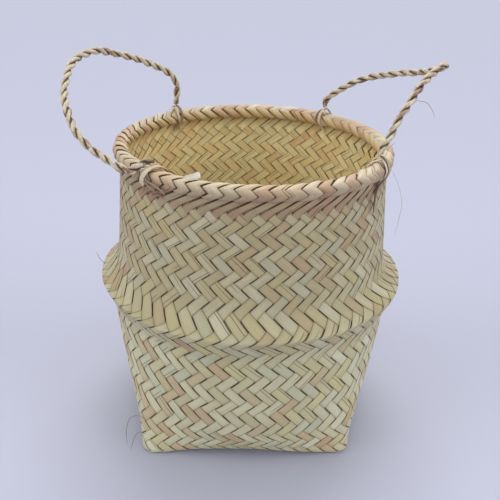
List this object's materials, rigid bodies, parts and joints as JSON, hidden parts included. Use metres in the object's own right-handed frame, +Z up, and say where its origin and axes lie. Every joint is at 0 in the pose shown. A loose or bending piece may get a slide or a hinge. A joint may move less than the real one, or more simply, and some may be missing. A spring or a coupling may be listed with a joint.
{
  "type": "plaited leaf planter basket",
  "caption": "Plaited leaf planter basket with a square foot, a folded belly, a rolled rim round an open mouth and twisted rope handles that swing.",
  "frame": {"origin": "centre of the foot on the surface that the basket stands on", "axes": "+Z up along the basket's axis, -Y towards the front, +X to the right, the sides of the square foot along X and Y"},
  "size_m": [0.323, 0.279, 0.341],
  "materials": {
    "plaited_leaf": "dry, slightly waxy leaf strips, pale straw green",
    "rim_leaf": "dry leaf strips wrapped over the rim, pinkish cream",
    "rope_leaf": "twisted dry leaf, tan to cream, fibrous"
  },
  "bodies": {
    "basket": {"base_mat": "plaited_leaf", "foot_wall": "plaited_leaf", "lower_wall": "plaited_leaf", "belly_underside": "plaited_leaf", "belly_shoulder": "plaited_leaf", "upper_wall": "plaited_leaf", "turned_down_band": "plaited_leaf", "rim_roll": "rim_leaf", "left_front_hitch": "rope_leaf", "left_back_hitch": "rope_leaf", "right_front_hitch": "rope_leaf", "right_back_hitch": "rope_leaf", "left_front_tail": "rope_leaf", "left_back_tail": "rope_leaf", "right_front_tail": "rope_leaf", "right_back_tail": "rope_leaf"},
    "left_handle": {"left_handle_rope": "rope_leaf"},
    "right_handle": {"right_handle_rope": "rope_leaf"}
  },
  "joints": [
    {"name": "left_handle_swing", "type": "hinge", "parent": "basket", "child": "left_handle", "pos_m": [-0.0767, -0.0007, 0.2771], "axis": [-0.0087, 1, 0], "range_deg": [-12, 75]},
    {"name": "right_handle_swing", "type": "hinge", "parent": "basket", "child": "right_handle", "pos_m": [0.086, 0.0191, 0.2771], "axis": [0.2164, -0.9763, 0], "range_deg": [-50, 75]}
  ]
}
